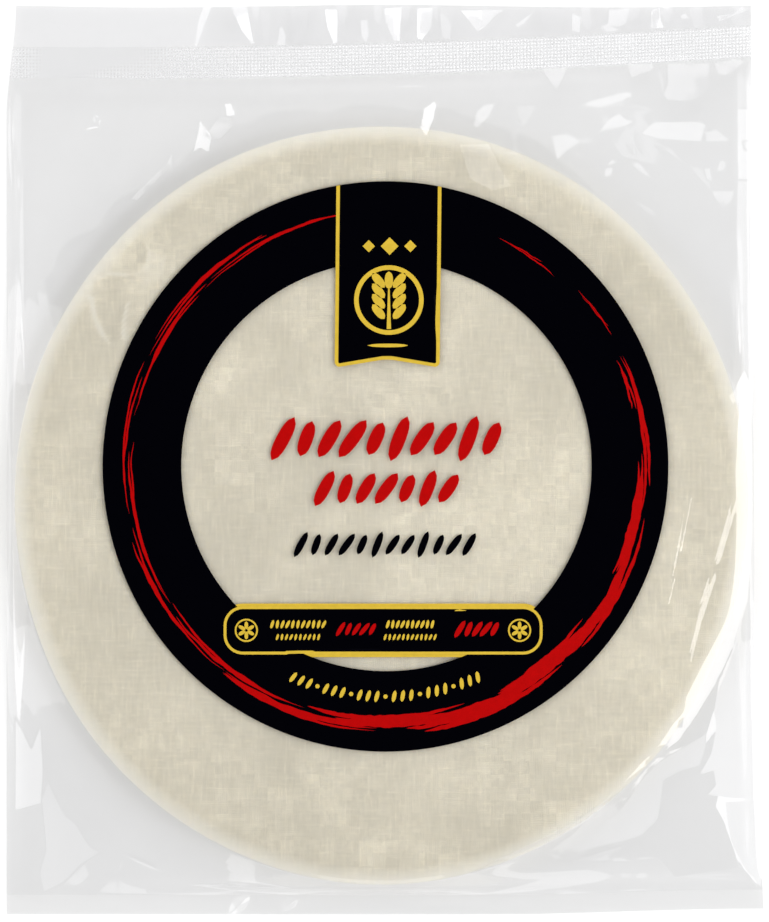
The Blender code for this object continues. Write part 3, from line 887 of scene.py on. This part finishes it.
plates = {
    "ringInner": 84.9 * mm, "ringTall": 1.008, "tabCorner": 2.2 * mm, "tabNotch": 3.6 * mm,
    "tabArc": 60 * mm, "tabLean": 0.010, "barCorner": 8.5 * mm, "arcRadius": 95.2 * mm,
    # height of each print above the film, in millimetres
    "ink": 0.10, "edge": 0.15, "lip": 0.06, "over": 0.20, "marks": 0.26, "arc": 0.16, "brush": 0.14,
}
ringX = (ringLow.x + ringHigh.x) / 2.0 + 0.3 * mm
ringOuter = (ringHigh.x - ringLow.x) / 2.0
ringY = ringLow.y + ringOuter + 0.5 * mm
tabX, tabHalf = (tabLow.x + tabHigh.x) / 2.0, (tabHigh.x - tabLow.x) / 2.0
barX, barY = (barLow.x + barHigh.x) / 2.0, (barLow.y + barHigh.y) / 2.0
barHalfX, barHalfY = (barHigh.x - barLow.x) / 2.0, (barHigh.y - barLow.y) / 2.0


def arc(x, y, radius, start, stop, count):
    angles = np.radians(np.linspace(start, stop, count))
    return [(x + radius * math.cos(a), y + radius * math.sin(a)) for a in angles]


def circle(x, y, radius, count=96):
    return arc(x, y, radius, 0.0, 360.0 * (count - 1) / count, count)


def barLoop(grow):
    loop, corner = [], plates["barCorner"]
    for sideX, sideY, start in ((1, 1, 0), (-1, 1, 90), (-1, -1, 180), (1, -1, 270)):
        x = barX + sideX * (barHalfX - corner)
        y = barY + sideY * (barHalfY - corner)
        loop += arc(x, y, corner + grow, start, start + 90, 10)
    return loop


def grain(x, y, length, width, slant, steps=9):
    c, s = math.cos(math.radians(slant)), math.sin(math.radians(slant))
    loop = []
    for side in (1, -1):
        for i in range(steps):
            t = side * (2.0 * i / steps - 1.0)
            a, b = t * length / 2.0, -side * width / 2.0 * (1.0 - abs(t) ** 2.6) ** 0.6
            loop.append((x + a * c - b * s, y + a * s + b * c))
    return loop


def box(x, y, width, height, turn=0.0):
    c, s = math.cos(math.radians(turn)), math.sin(math.radians(turn))
    corners = ((-1, -1), (1, -1), (1, 1), (-1, 1))
    return [(x + (a * width * c - b * height * s) / 2.0, y + (a * width * s + b * height * c) / 2.0)
            for a, b in corners]


def tabLoop(grow):
    half, foot, corner = tabHalf + grow, tabLow.y - grow, plates["tabCorner"] + grow
    notch, curve = plates["tabNotch"], plates["tabArc"]
    sides = []
    for side in (-1, 1):
        x = tabX + side * (half - corner)
        turn = arc(x, foot + corner + 0.6 * mm, corner, 180, 262, 8)
        sides.append(turn if side < 0 else [(2.0 * x - a, b) for a, b in turn][::-1])
    loop = sides[0] + arc(tabX, foot + notch - curve, curve, 92, 88, 5) + sides[1]
    across = np.linspace(tabX + half, tabX - half, 24)
    loop += [(x, ringY + plates["ringTall"] * math.sqrt(ringOuter ** 2 - (x - ringX) ** 2)) for x in across]
    return [(x + plates["tabLean"] * (y - 70 * mm), y) for x, y in loop]


def makePlates():
    gold, black = (goldInk, "gold_ink"), (blackInk, "black_ink")
    edge, over, tall = plates["edge"], plates["over"], plates["ringTall"]
    rim = [(x, ringY + (y - ringY) * tall) for x, y in circle(ringX, ringY, ringOuter, 220)]
    loops = [rim, circle(ringX + 0.4 * mm, ringY + 0.2 * mm, plates["ringInner"], 180)]
    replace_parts(makeInkPiece("inkRing", loops, *black, plates["ink"], holes=True), "print_ring")
    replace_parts(makeInkPiece("inkTabEdge", [tabLoop(0.0)], *gold, edge), "print_tab_edge")
    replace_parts(makeInkPiece("inkTab", [tabLoop(-1.5 * mm)], *black, over), "print_tab")
    makeInkPiece("inkBarLip", [barLoop(0.6 * mm)], *gold, plates["lip"])
    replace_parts(makeInkPiece("inkBarEdge", [barLoop(-0.5 * mm)], *gold, edge), "print_bar_edge")
    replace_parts(makeInkPiece("inkBar", [barLoop(-1.7 * mm)], *black, over), "print_bar")


def sprig(x, y):
    loops = [circle(x, y, 14.4 * mm, 72), circle(x, y, 12.5 * mm, 64)]
    stem = [(-0.9, -12.0), (0.9, -12.0), (0.35, 4.5), (-0.35, 4.5)]
    loops.append([(x + a * mm, y + b * mm) for a, b in stem])
    for step in range(4):
        level = y + (-7.2 + 4.3 * step) * mm
        for side in (-1, 1):
            slant = 50 if side > 0 else 130
            loops.append(grain(x + side * 4.3 * mm, level + 2.4 * mm, 7.8 * mm, 3.4 * mm, slant))
    loops.append(grain(x, y + 8.2 * mm, 7.4 * mm, 3.4 * mm, 90))
    return loops


def blossom(x, y):
    loops = [circle(x, y, 4.8 * mm, 40), circle(x, y, 4.1 * mm, 36)]
    for turn in range(0, 360, 60):
        a = math.radians(turn + 30)
        px, py = x + 2.1 * mm * math.cos(a), y + 2.1 * mm * math.sin(a)
        loops.append(grain(px, py, 3.3 * mm, 1.5 * mm, turn + 30))
    return loops


def grainRow(x, y, width, count, length, thick, slant, swing=0.0):
    loops = []
    for i in range(count):
        t = (i + 0.5) / count - 0.5
        size = length * (1.0 + swing * math.cos(i * 2.4))
        turn = slant + 9.0 * math.sin(i * 1.7)
        loops.append(grain((x + width * t) * mm, y * mm, size * mm, thick * mm, turn))
    return loops


def makeMarks():
    loops = sprig(tabX + 0.4 * mm, 66.0 * mm)
    for place, size in ((-8.6, 3.6), (0.0, 5.2), (8.6, 3.6)):
        loops.append(box(tabX + (place + 0.7) * mm, 88.3 * mm, size * mm, size * mm, 45))
    loops.append(grain(tabX, 47.2 * mm, 17 * mm, 1.5 * mm, 0))
    makeInkPiece("tabMarks", loops, goldInk, "gold_ink", plates["marks"], holes=True)

    loops = blossom(-57.6 * mm, barY) + blossom(55.5 * mm, barY)
    loops += grainRow(-36.2, -68.2, 23.5, 11, 3.7, 1.25, 72)
    loops += grainRow(-36.2, -73.5, 19.0, 10, 2.8, 1.0, 72)
    loops += grainRow(10.2, -68.2, 20.5, 10, 3.7, 1.25, 72)
    loops += grainRow(10.2, -73.5, 22.5, 12, 2.8, 1.0, 72)
    makeInkPiece("barMarks", loops, goldInk, "gold_ink", plates["marks"], holes=True)

    loops = grainRow(-12.0, -70.2, 16.5, 5, 6.2, 1.8, 58, 0.12)
    loops += grainRow(38.0, -70.2, 18.0, 5, 7.4, 2.2, 58, 0.12)
    makeInkPiece("barGrains", loops, redInk, "red_ink", plates["marks"])

    loops = []
    for i in range(23):
        turn = 270.0 + (i - 11) * 2.15
        x, y = arc(ringX, ringY, plates["arcRadius"], turn, turn, 1)[0]
        if i % 4 == 3:
            loops.append(circle(x, y, 0.9 * mm, 14))
        else:
            loops.append(grain(x, y, 5.0 * mm, 1.7 * mm, turn + 180.0 - 14.0))
    makeInkPiece("arcGrains", loops, goldInk, "gold_ink", plates["arc"])


def makeTitle():
    red = grainRow(0.8, 8.6, 96, 10, 17.5, 5.6, 62, 0.16) + grainRow(0.4, -12.0, 60, 7, 14.5, 5.0, 62, 0.14)
    makeInkPiece("redGrains", red, redInk, "red_ink", plates["ink"], spacing=1.2 * mm)
    black = grainRow(-0.2, -35.2, 76, 12, 10.4, 2.9, 62, 0.14)
    makeInkPiece("blackGrains", black, blackInk, "black_ink", plates["ink"], spacing=1.2 * mm)


def bladeLoop(start, stop, radius, width, lean, seed):
    count = max(10, int(abs(stop - start) * 1.6))
    t = np.linspace(0.0, 1.0, count)
    angle = np.radians(between(start, stop, t))
    middle = radius + lean * (t - 0.5) + 0.35 * softNoise(t * 40.0, t * 0.0 + seed, 5.0, seed)
    body = np.sin(math.pi * t ** 0.8) ** 0.75 * width / 2.0
    loop = []
    for side in (1.0, -1.0):
        rough = 1.0 + 0.30 * softNoise(t * 60.0, t * 0.0 + side * 3.0, 1.7, seed + 40)
        r = (middle + side * body * rough) * mm
        points = list(zip(ringX + r * np.cos(angle), ringY + r * np.sin(angle)))
        loop += points[:-1] if side > 0 else points[::-1][:-1]
    return [(float(a), float(b)) for a, b in loop]


brush = {"seed": 19, "strokes": 17, "from": 99.0, "step": 19.5, "until": 442.0, "radius": 106.8,
         "thin": 1.3, "swell": 5.0, "swellAt": 288.0, "swellSpan": 52.0}


def makeBrush():
    dice = np.random.default_rng(brush["seed"])
    loops = []
    for i in range(brush["strokes"]):
        start = brush["from"] + brush["step"] * i
        swell = math.exp(-((start - brush["swellAt"]) / brush["swellSpan"]) ** 2)
        weight = brush["thin"] + brush["swell"] * swell
        if start > 385.0:
            weight = 0.9
        span = 34.0 if start < 360.0 else 12.0
        radius = brush["radius"] + (1.4 if i % 2 else -1.2)
        strands = 3 if weight > 2.4 else 2
        for strand in range(strands):
            shift = (strand - (strands - 1) / 2.0) * weight / strands
            a = start + dice.uniform(-4.0, 4.0)
            b = min(start + span * dice.uniform(0.75, 1.1), brush["until"])
            thick = weight / strands * dice.uniform(0.9, 1.45)
            lean = dice.uniform(-1.5, 1.5)
            loops.append(bladeLoop(a, b, radius + shift, thick, lean, 200 + i * 5 + strand))
    makeInkPiece("redBrush", loops, redInk, "red_ink", plates["brush"], spacing=2.2 * mm)


makePlates()
makeMarks()
makeTitle()
makeBrush()
print("print made")


# floor, light and camera

studio = {"floor": 9.0, "floorTone": 0.72, "floorGlow": 0.30, "lampDistance": 2.6,
          "skyMiddle": 0.005, "skyEdge": 0.90, "skySeen": 0.95}


def makeFloor():
    side = np.linspace(-studio["floor"], studio["floor"], 25)
    x, y = np.meshgrid(side, side)
    mesh = bpy.data.meshes.new("floor")
    mesh.from_pydata(listPoints(x, y, np.full_like(x, -0.0001)), [], gridFaces(25, 25).tolist())
    floor = bpy.data.objects.new("floor", mesh)
    shop.objects.link(floor)
    made, tree, shader = newMaterial("floorPaint")
    setShader(shader, Base_Color=(*[studio["floorTone"]] * 3, 1.0), Roughness=0.9, Specular_IOR_Level=0.0,
              Emission_Color=(1.0, 1.0, 1.0, 1.0), Emission_Strength=studio["floorGlow"])
    mesh.materials.append(made)


lamps = {
    # way round, lean from straight up, width, height, brightness
    "rightBox": (-19.5, 35, 1.14, 0.75, 4.0),
    "rightPale": (16, 35, 0.70, 0.75, 2.0),
    "rightSoft": (-5, 58, 2.6, 1.3, 2.0),
    "footRight": (-60, 35, 0.5, 0.75, 1.1),
    "footSoft": (268, 35, 0.5, 0.4, 1.3),
    "footLow": (264, 72, 2.4, 0.7, 1.4),
    "leftBox": (180, 62, 3.2, 1.7, 1.1),
    "topBox": (95, 72, 3.0, 0.9, 2.75),
    "cornerSoft": (42, 22, 0.95, 0.45, 0.8),
}


def makeLights():
    for name, (around, lean, width, height, brightness) in lamps.items():
        data = bpy.data.lights.new(name, "AREA")
        data.shape = "RECTANGLE"
        data.size, data.size_y = width, height
        data.energy = brightness * math.pi * width * height
        lamp = bpy.data.objects.new(name, data)
        around, lean = math.radians(around), math.radians(lean)
        way = Vector((math.sin(lean) * math.cos(around), math.sin(lean) * math.sin(around), math.cos(lean)))
        lamp.location = way * studio["lampDistance"]
        lamp.rotation_mode = "QUATERNION"
        lamp.rotation_quaternion = way.to_track_quat("Z", "Y")
        lamp.visible_camera = False
        shop.objects.link(lamp)


def makeWorld():
    world = bpy.data.worlds.new("studio")
    world.use_nodes = True
    tree = world.node_tree
    ground = tree.nodes["Background"]
    place = node(tree, "TexCoord")
    split = node(tree, "SeparateXYZ")
    square = node(tree, "Math", operation="MULTIPLY")
    flat = node(tree, "Math", {0: 1.0}, operation="SUBTRACT")
    root = node(tree, "Math", operation="SQRT")
    # the sky is dark overhead and pale low down
    sky = {"From Min": 0.15, "From Max": 1.0, "To Min": studio["skyMiddle"], "To Max": studio["skyEdge"]}
    ramp = node(tree, "MapRange", sky)
    seen = node(tree, "LightPath")
    pale = node(tree, "Mix", {3: studio["skySeen"]}, data_type="FLOAT")
    wire(tree, (place, "Generated", split, 0), (split, "Z", square, 0), (split, "Z", square, 1),
         (square, 0, flat, 1), (flat, 0, root, 0), (root, 0, ramp, "Value"), (ramp, "Result", pale, 2),
         (seen, "Is Camera Ray", pale, 0), (pale, 0, ground, "Strength"))
    ground.inputs["Color"].default_value = (1.0, 1.0, 1.0, 1.0)
    scene.world = world


camera = {"distance": 2.6, "sensor": 36.0, "tall": 0.38205, "x": -0.41 * mm, "y": -0.62 * mm,
          "plane": 10 * mm}


def makeCamera():
    data = bpy.data.cameras.new("camera")
    data.sensor_width = camera["sensor"]
    data.lens = camera["sensor"] * camera["distance"] / camera["tall"]
    data.clip_end = 50.0
    eye = bpy.data.objects.new("camera", data)
    eye.location = (camera["x"], camera["y"], camera["plane"] + camera["distance"])
    shop.objects.link(eye)
    scene.camera = eye


makeFloor()
makeLights()
makeWorld()
makeCamera()
scene.view_settings.view_transform = "Standard"
